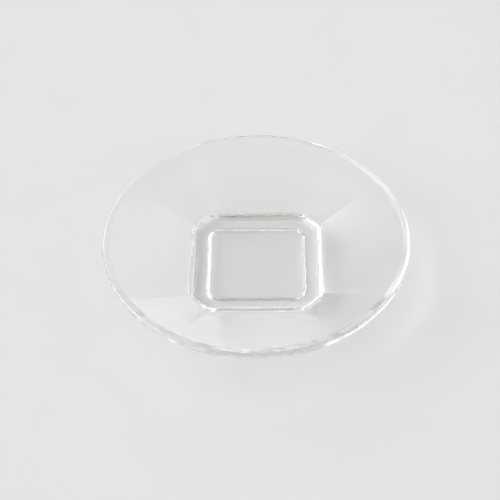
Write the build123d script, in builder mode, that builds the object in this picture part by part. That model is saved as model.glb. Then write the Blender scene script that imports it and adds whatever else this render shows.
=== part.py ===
from build123d import *
import os

# A shallow dish pressed from one piece of clear glass, in millimetres.
# The rim is round, the foot is a square with cut corners, and the wall between them is
# made of four broad facets and four narrow ones that fade out into the round rim.
# Frame: +Z up, origin at the centre of the foot's underside, the foot's flats along X and Y.

# Overall
rim_diameter = 100.0
total_height = 15.4

# Rim, a band of glass with every edge fire-polished round
rim_land_width = 2.35
rim_band_height = 1.9
rim_outer_round = 0.9
rim_inner_round = 0.7
rim_under_round = 0.7

# Wall: half of the angle that each broad facet spans where it reaches the rim
broad_facet_half_angle = 32.5

# Foot, a square with cut corners and a well-rounded lower edge
foot_width = 42.8
foot_corner_cut = 5.8
foot_height = 4.0
foot_edge_round = 2.0

# Flat floor inside the dish, which curves up into the wall
floor_width = 43.0
floor_corner_cut = 6.0
floor_height = 5.2
floor_edge_round = 2.0

# Recess pressed into the underside, which leaves the dish standing on a ring
recess_width = 32.2
recess_corner_radius = 4.2
recess_depth = 2.0
recess_ceiling_round = 1.4
recess_mouth_round = 0.5

# Values worked out from the driving dimensions
rim_radius = rim_diameter / 2
mouth_radius = rim_radius - rim_land_width
rim_under_height = total_height - rim_band_height
narrow_facet_angle = 90 - 2 * broad_facet_half_angle

# Places of the finished dish's four flat faces, counted from the lowest
RING, CEILING, FLOOR, LAND = range(4)


def cut_square(width, cut, height):
    """Face of a square with cut corners, lying flat at the given height."""
    side = width / 2
    flat_end = side - cut
    corners = []
    for turn in range(4):
        for end in (-flat_end, flat_end):
            corner = Vector(side, end, height).rotate(Axis.Z, 90 * turn)
            corners.append(corner)
    return make_face(Polyline(*corners, close=True))


def faceted_circle(radius, height):
    """Face of a circle kept as eight arcs, one for each facet of the wall."""
    arcs = []
    for turn in range(4):
        broad_start = 90 * turn - broad_facet_half_angle
        narrow_start = 90 * turn + broad_facet_half_angle
        arcs.append(CenterArc((0, 0, height), radius, broad_start, 2 * broad_facet_half_angle))
        arcs.append(CenterArc((0, 0, height), radius, narrow_start, narrow_facet_angle))
    return make_face(arcs)


def flat_faces():
    """The dish's level faces, lowest first."""
    return dish.faces().filter_by(Axis.Z).sort_by(Axis.Z)


def circle_edges():
    """The dish's circular edges in groups of one height, lowest first."""
    return dish.edges().filter_by(GeomType.CIRCLE).group_by(Axis.Z)


# Outlines of the wall. They are made outside the dish's block, because a block's own
# sketch would join the eight arcs of a circle into one edge.
foot_outline = cut_square(foot_width, foot_corner_cut, foot_height)
rim_outline = faceted_circle(rim_radius, rim_under_height)
floor_outline = cut_square(floor_width, floor_corner_cut, floor_height)
mouth_outline = faceted_circle(mouth_radius, total_height)

with BuildPart() as dish:
    # Foot
    extrude(foot_outline, amount=-foot_height)
    fillet(flat_faces()[RING].edges(), foot_edge_round)

    # Outside of the wall, from the foot out to the underside of the rim
    loft([foot_outline, rim_outline], ruled=True)

    # Rim band, rounded above and below
    with BuildSketch(Plane.XY.offset(rim_under_height)):
        Circle(rim_radius)
    extrude(amount=rim_band_height)
    fillet(circle_edges()[-2], rim_under_round)
    fillet(circle_edges()[-1], rim_outer_round)

    # Recess in the underside
    with BuildSketch():
        RectangleRounded(recess_width, recess_width, recess_corner_radius)
    extrude(amount=recess_depth, mode=Mode.SUBTRACT)
    fillet(flat_faces()[CEILING].edges(), recess_ceiling_round)
    fillet(flat_faces()[RING].inner_wires()[0].edges(), recess_mouth_round)

    # Inside of the dish, from the flat floor out to the rim
    loft([floor_outline, mouth_outline], ruled=True, mode=Mode.SUBTRACT)
    fillet(flat_faces()[FLOOR].edges(), floor_edge_round)
    fillet(flat_faces()[LAND].inner_wires()[0].edges(), rim_inner_round)

dish.part.label = "dish"
os.makedirs("parts", exist_ok=True)
export_step(dish.part, "parts/dish.step")
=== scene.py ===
from math import cos, pi, radians, sin, sqrt, tan

import bpy
import numpy as np
from mathutils import Matrix, Vector


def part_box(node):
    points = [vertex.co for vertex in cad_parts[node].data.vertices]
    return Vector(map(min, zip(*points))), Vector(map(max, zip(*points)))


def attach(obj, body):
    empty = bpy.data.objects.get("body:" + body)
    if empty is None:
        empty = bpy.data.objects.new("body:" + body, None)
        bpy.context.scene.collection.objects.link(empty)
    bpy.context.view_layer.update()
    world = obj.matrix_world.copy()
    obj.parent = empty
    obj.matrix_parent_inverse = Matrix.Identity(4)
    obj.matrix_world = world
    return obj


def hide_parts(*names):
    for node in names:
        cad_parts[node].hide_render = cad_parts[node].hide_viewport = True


# A shallow dish pressed from one piece of clear glass, on a pale table top in soft window light.
# Lengths are in metres. MM turns the millimetres of the glass's own sizes into metres.
MM = 0.001

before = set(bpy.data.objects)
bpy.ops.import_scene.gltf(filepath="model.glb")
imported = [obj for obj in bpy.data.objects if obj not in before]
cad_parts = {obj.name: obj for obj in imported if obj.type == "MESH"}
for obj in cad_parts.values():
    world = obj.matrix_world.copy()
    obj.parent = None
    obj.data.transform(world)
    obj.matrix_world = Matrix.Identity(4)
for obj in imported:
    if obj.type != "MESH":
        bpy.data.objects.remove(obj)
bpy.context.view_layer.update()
dish_low, dish_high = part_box("dish")

# ---------------------------------------------------------------- driving sizes of the glass
rim_radius = (dish_high.x - dish_low.x) / 2
total_height = dish_high.z - dish_low.z

rim_land_width = 2.35 * MM
rim_band_height = 1.9 * MM
rim_outer_round = 0.9 * MM
rim_inner_round = 0.7 * MM
rim_under_round = 0.7 * MM

broad_facet_half_angle = radians(32.5)
crease_angle_at_rim = radians(2.0)
corner_round = 0.8 * MM

foot_half = 21.4 * MM
foot_cut = 5.8 * MM
foot_height = 4.0 * MM
foot_edge_round = 2.0 * MM
foot_root_round = 1.2 * MM

floor_half = 21.5 * MM
floor_cut = 6.0 * MM
floor_height = 5.2 * MM
floor_edge_round = 2.0 * MM

recess_half = 16.1 * MM
recess_corner = 4.2 * MM
recess_depth = 2.0 * MM
recess_ceiling_round = 1.4 * MM
recess_mouth_round = 0.5 * MM

# ---------------------------------------------------------------- how finely the glass is meshed
BROAD_STEPS = 64
NARROW_STEPS = 22
CORNER_STEPS = 7
ROUND_STEPS = 10
ALONG_WALL = (0.03, 0.2, 0.4, 0.6, 0.8, 0.97)
FROM_CENTRE = (0.1, 0.3, 0.5, 0.7, 0.85, 0.98)

# ---------------------------------------------------------------- finish of the glass and the table
GLASS_IOR = 1.5
GLASS_TINT = (0.86, 0.86, 0.84, 1)
GLASS_TINT_DENSITY = 8
RIPPLE_SCALE = 90
RIPPLE_DETAIL = 1
RIPPLE_HEIGHT = 0.04 * MM

TABLE_DARK = (0.735, 0.735, 0.735, 1)
TABLE_LIGHT = (0.765, 0.765, 0.765, 1)
TABLE_ROUGHNESS = 0.6
TABLE_GLOSS = 0.2
MOTTLE_SCALE = 25
MOTTLE_DETAIL = 2
TABLE_HALF_WIDTH = 3.0
TABLE_GAP = 0.05 * MM

# ---------------------------------------------------------------- light
# Each lobe of light is its azimuth, elevation, core angle, edge angle and colour, with the angles
# in degrees. Azimuth 0 is along +Y, almost straight away from the camera, and 90 is along +X. A
# lobe is full within its core angle and gone at its edge angle. A dark patch multiplies the glow
# by its colour, and a window adds its colour.
GLOW = (0.65, 0.65, 0.65)
DARK_PATCHES = (
    (-11, 46, 7, 27, (0.18, 0.16, 0.14)),
    (188, 10, 14, 46, (0.0, 0.0, 0.0)),
    (12, 73, 2, 27, (0.43, 0.43, 0.43)),
    (58, 58, 4, 20, (0.35, 0.33, 0.3)),
    (2, 2, 5, 15, (0.45, 0.4, 0.36)),
)
WINDOWS = (
    (-91, 31, 10, 30, (4.7, 4.8, 4.9)),
    (-49, 28, 4, 19, (2.7, 2.7, 2.7)),
    (112, 14, 8, 40, (0.8, 0.72, 0.65)),
    (2, 26, 5, 14, (2.2, 2.1, 2.0)),
    (-38, 7, 8, 19, (3.8, 3.6, 3.4)),
)

# How often light may pass through or mirror in the glass before it is dropped
LIGHT_BOUNCES = 96

# ---------------------------------------------------------------- camera
CAMERA_ELEVATION = radians(46.2)
CAMERA_AZIMUTH = radians(1.3)
CAMERA_ROLL = radians(-1.5)
CAMERA_DISTANCE = 470 * MM
CAMERA_LENS = 104.9
CAMERA_SENSOR = 36
AIM_OFFSET = Vector((-1.9, -5.9, 0)) * MM


# ---------------------------------------------------------------- outlines
def turned(points, turn):
    """The points turned about Z by quarter turns."""
    c, s = cos(turn * pi / 2), sin(turn * pi / 2)
    return [(x * c - y * s, x * s + y * c) for x, y in points]


def line(start, end, steps):
    """Points along a straight run, without its last."""
    (x0, y0), (x1, y1) = start, end
    return [(x0 + (x1 - x0) * i / steps, y0 + (y1 - y0) * i / steps) for i in range(steps)]


def arc(centre, radius, start, sweep, steps):
    """Points along an arc, without its last."""
    angles = [start + sweep * i / steps for i in range(steps)]
    return [(centre[0] + radius * cos(a), centre[1] + radius * sin(a)) for a in angles]


def closed(quarter, height):
    """Four turned copies of a quarter outline as one closed outline at a height."""
    flat = [p for turn in range(4) for p in turned(quarter, turn)]
    return np.array([(x, y, height) for x, y in flat])


def cut_square(half, cut, height):
    """Square with cut corners, each of its eight corners rounded."""
    end = half - cut
    setback = corner_round * tan(pi / 8)
    diagonal = setback / sqrt(2)
    quarter = line((half, -end + setback), (half, end - setback), BROAD_STEPS)
    quarter += arc((half - corner_round, end - setback), corner_round, 0, pi / 4, CORNER_STEPS)
    quarter += line((half - diagonal, end + diagonal), (end + diagonal, half - diagonal), NARROW_STEPS)
    quarter += arc((end - setback, half - corner_round), corner_round, pi / 4, pi / 4, CORNER_STEPS)
    return closed(quarter, height)


def rounded_square(half, corner, height):
    """Square with round corners, with as many points as the cut square."""
    end = half - corner
    quarter = line((half, -end), (half, end), BROAD_STEPS)
    quarter += arc((end, end), corner, 0, pi / 2, NARROW_STEPS + 2 * CORNER_STEPS)
    return closed(quarter, height)


def circle(radius, height):
    """Circle whose points answer to those of the cut square, side for side."""
    crease = crease_angle_at_rim / 2
    broad = broad_facet_half_angle
    narrow = pi / 2 - 2 * broad
    quarter = arc((0, 0), radius, crease - broad, 2 * (broad - crease), BROAD_STEPS)
    quarter += arc((0, 0), radius, broad - crease, 2 * crease, CORNER_STEPS)
    quarter += arc((0, 0), radius, broad + crease, narrow - 2 * crease, NARROW_STEPS)
    quarter += arc((0, 0), radius, broad + narrow - crease, 2 * crease, CORNER_STEPS)
    return closed(quarter, height)


# ---------------------------------------------------------------- glass body
def rounded(before, corner, after, radius):
    """Outlines that round one corner of the profile, point by point, as arcs of the given radius."""
    to_before = before - corner
    to_after = after - corner
    to_before /= np.linalg.norm(to_before, axis=1, keepdims=True)
    to_after /= np.linalg.norm(to_after, axis=1, keepdims=True)
    cosine = (to_before * to_after).sum(axis=1, keepdims=True)
    opening = np.arccos(np.clip(cosine, -1, 1))
    weight = np.sin(opening / 2)
    setback = radius / np.tan(opening / 2)
    start = corner + to_before * setback
    end = corner + to_after * setback
    outlines = []
    for i in range(ROUND_STEPS + 1):
        t = i / ROUND_STEPS
        a, b, c = (1 - t) ** 2, 2 * t * (1 - t) * weight, t ** 2
        outlines.append((a * start + b * corner + c * end) / (a + b + c))
    return outlines


def between(start, end, fractions):
    """Outlines on the straight run from one outline to the next."""
    return [start + (end - start) * f for f in fractions]


def glass_outlines():
    """The dish's outlines in order, from the middle of its underside over the rim to its floor."""
    under = total_height - rim_band_height
    mouth = rim_radius - rim_land_width
    profile = [
        (rounded_square(recess_half, recess_corner, recess_depth), recess_ceiling_round),
        (rounded_square(recess_half, recess_corner, 0), recess_mouth_round),
        (cut_square(foot_half, foot_cut, 0), foot_edge_round),
        (cut_square(foot_half, foot_cut, foot_height), foot_root_round),
        (circle(rim_radius, under), rim_under_round),
        (circle(rim_radius, total_height), rim_outer_round),
        (circle(mouth, total_height), rim_inner_round),
        (cut_square(floor_half, floor_cut, floor_height), floor_edge_round),
    ]
    corners = [outline for outline, radius in profile]
    first_centre = corners[0] * (0, 0, 1)
    last_centre = corners[-1] * (0, 0, 1)
    chain = [first_centre, *corners, last_centre]
    outlines = []
    for i, (outline, radius) in enumerate(profile, start=1):
        bend = rounded(chain[i - 1], outline, chain[i + 1], radius)
        if outlines:
            outlines += between(outlines[-1], bend[0], ALONG_WALL)
        else:
            outlines += between(first_centre, bend[0], FROM_CENTRE)
        outlines += bend
    outlines += reversed(between(last_centre, outlines[-1], FROM_CENTRE))
    return outlines


def skin(name, outlines):
    """One closed mesh over the outlines, with a fan of triangles at each end."""
    count = len(outlines[0])
    centres = [outlines[0].mean(axis=0), outlines[-1].mean(axis=0)]
    points = np.vstack(outlines + centres)
    first, last = len(points) - 2, len(points) - 1
    top = (len(outlines) - 1) * count
    faces = []
    for i in range(count):
        j = (i + 1) % count
        faces.append((first, j, i))
        for row in range(0, top, count):
            faces.append((row + i, row + j, row + count + j, row + count + i))
        faces.append((last, top + i, top + j))
    mesh = bpy.data.meshes.new(name)
    mesh.from_pydata(points.tolist(), [], faces)
    mesh.polygons.foreach_set("use_smooth", [True] * len(mesh.polygons))
    piece = bpy.data.objects.new(name, mesh)
    bpy.context.collection.objects.link(piece)
    return piece


# ---------------------------------------------------------------- materials
def noise(nodes, links, scale, detail):
    """Noise over the object's own coordinates. The scale counts features to the metre."""
    place = nodes.new("ShaderNodeTexCoord")
    texture = nodes.new("ShaderNodeTexNoise")
    texture.inputs["Scale"].default_value = scale
    texture.inputs["Detail"].default_value = detail
    links.new(place.outputs["Object"], texture.inputs["Vector"])
    return texture.outputs["Fac"]


def bump(nodes, links, height, distance, shader):
    """Raise the shader's surface by a height pattern."""
    node = nodes.new("ShaderNodeBump")
    node.inputs["Distance"].default_value = distance
    links.new(height, node.inputs["Height"])
    links.new(node.outputs["Normal"], shader.inputs["Normal"])


def clear_glass():
    """Colourless pressed glass: faintly wavy from the mould, a trace of tint through its thickness."""
    material = bpy.data.materials.new("clear_glass")
    material.use_nodes = True
    nodes, links = material.node_tree.nodes, material.node_tree.links
    shader = nodes["Principled BSDF"]
    shader.inputs["Base Color"].default_value = (1, 1, 1, 1)
    shader.inputs["Transmission Weight"].default_value = 1
    shader.inputs["IOR"].default_value = GLASS_IOR
    shader.inputs["Roughness"].default_value = 0
    ripple = noise(nodes, links, RIPPLE_SCALE, RIPPLE_DETAIL)
    bump(nodes, links, ripple, RIPPLE_HEIGHT, shader)
    tint = nodes.new("ShaderNodeVolumeAbsorption")
    tint.inputs["Color"].default_value = GLASS_TINT
    tint.inputs["Density"].default_value = GLASS_TINT_DENSITY
    links.new(tint.outputs["Volume"], nodes["Material Output"].inputs["Volume"])
    return material


def pale_laminate():
    """Smooth off-white table top with a barely visible mottle."""
    material = bpy.data.materials.new("pale_laminate")
    material.use_nodes = True
    nodes, links = material.node_tree.nodes, material.node_tree.links
    shader = nodes["Principled BSDF"]
    shader.inputs["Roughness"].default_value = TABLE_ROUGHNESS
    shader.inputs["Specular IOR Level"].default_value = TABLE_GLOSS
    mottle = nodes.new("ShaderNodeValToRGB")
    mottle.color_ramp.elements[0].color = TABLE_DARK
    mottle.color_ramp.elements[1].color = TABLE_LIGHT
    pattern = noise(nodes, links, MOTTLE_SCALE, MOTTLE_DETAIL)
    links.new(pattern, mottle.inputs["Fac"])
    links.new(mottle.outputs["Color"], shader.inputs["Base Color"])
    return material


# ---------------------------------------------------------------- surroundings
def table_top():
    """Plain floor just under the dish, wide enough to fill every view."""
    half = TABLE_HALF_WIDTH
    level = -TABLE_GAP
    corners = [(-half, -half, level), (half, -half, level), (half, half, level), (-half, half, level)]
    mesh = bpy.data.meshes.new("table_top")
    mesh.from_pydata(corners, [], [(0, 1, 2, 3)])
    mesh.materials.append(pale_laminate())
    table = bpy.data.objects.new("table_top", mesh)
    bpy.context.collection.objects.link(table)
    return table


def toward(azimuth, elevation):
    """Unit vector for an azimuth and an elevation in degrees."""
    azimuth, elevation = radians(azimuth), radians(elevation)
    return Vector((sin(azimuth) * cos(elevation), cos(azimuth) * cos(elevation), sin(elevation)))


def lobe(nodes, links, azimuth, elevation, core, edge):
    """1 near a direction, fading softly to 0 away from it."""
    direction = nodes.new("ShaderNodeTexCoord")
    closeness = nodes.new("ShaderNodeVectorMath")
    closeness.operation = "DOT_PRODUCT"
    closeness.inputs[1].default_value = toward(azimuth, elevation)
    links.new(direction.outputs["Generated"], closeness.inputs[0])
    fade = nodes.new("ShaderNodeMapRange")
    fade.interpolation_type = "SMOOTHSTEP"
    fade.inputs["From Min"].default_value = cos(radians(edge))
    fade.inputs["From Max"].default_value = cos(radians(core))
    links.new(closeness.outputs["Value"], fade.inputs["Value"])
    return fade.outputs["Result"]


# Places of the Mix node's colour sockets, which share their names with its other kinds
COLOUR_A, COLOUR_B, COLOUR_OUT = 6, 7, 2


def studio():
    """World of one even glow, darkened softly in places, with soft windows added."""
    world = bpy.data.worlds.new("studio")
    world.use_nodes = True
    nodes, links = world.node_tree.nodes, world.node_tree.links
    glow = nodes.new("ShaderNodeRGB").outputs["Color"]
    glow.default_value = (*GLOW, 1)
    lobes = [("MULTIPLY", patch) for patch in DARK_PATCHES] + [("ADD", window) for window in WINDOWS]
    for blend, (azimuth, elevation, core, edge, colour) in lobes:
        mix = nodes.new("ShaderNodeMix")
        mix.data_type = "RGBA"
        mix.blend_type = blend
        factor = mix.inputs["Factor"]
        below, above = mix.inputs[COLOUR_A], mix.inputs[COLOUR_B]
        links.new(lobe(nodes, links, azimuth, elevation, core, edge), factor)
        links.new(glow, below)
        above.default_value = (*colour, 1)
        glow = mix.outputs[COLOUR_OUT]
    links.new(glow, nodes["Background"].inputs["Color"])
    nodes["Background"].inputs["Strength"].default_value = 1
    return world


def camera():
    """Camera that looks down on the dish from the front, with a trace of roll."""
    data = bpy.data.cameras.new("camera")
    data.lens = CAMERA_LENS
    data.sensor_width = CAMERA_SENSOR
    view = bpy.data.objects.new("camera", data)
    level = Vector((sin(CAMERA_AZIMUTH), -cos(CAMERA_AZIMUTH), 0)) * cos(CAMERA_ELEVATION)
    back = level + Vector((0, 0, sin(CAMERA_ELEVATION)))
    rim_centre = Vector((0, 0, total_height))
    view.location = rim_centre + AIM_OFFSET + back * CAMERA_DISTANCE
    view.rotation_mode = "QUATERNION"
    roll = Matrix.Rotation(CAMERA_ROLL, 4, "Z").to_quaternion()
    view.rotation_quaternion = (-back).to_track_quat("-Z", "Y") @ roll
    bpy.context.collection.objects.link(view)
    return view


# ---------------------------------------------------------------- scene
dish = skin("glass_dish", glass_outlines())
dish.data.materials.append(clear_glass())
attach(dish, "root")
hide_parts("dish")
table_top()

scene = bpy.context.scene
scene.world = studio()
scene.camera = camera()
scene.view_settings.view_transform = "Standard"
scene.cycles.max_bounces = LIGHT_BOUNCES
scene.cycles.transmission_bounces = LIGHT_BOUNCES
scene.cycles.glossy_bounces = LIGHT_BOUNCES
scene.cycles.blur_glossy = 0
scene.cycles.sample_clamp_indirect = 0
scene.cycles.caustics_reflective = True
scene.cycles.caustics_refractive = True
scene.cycles.use_denoising = True
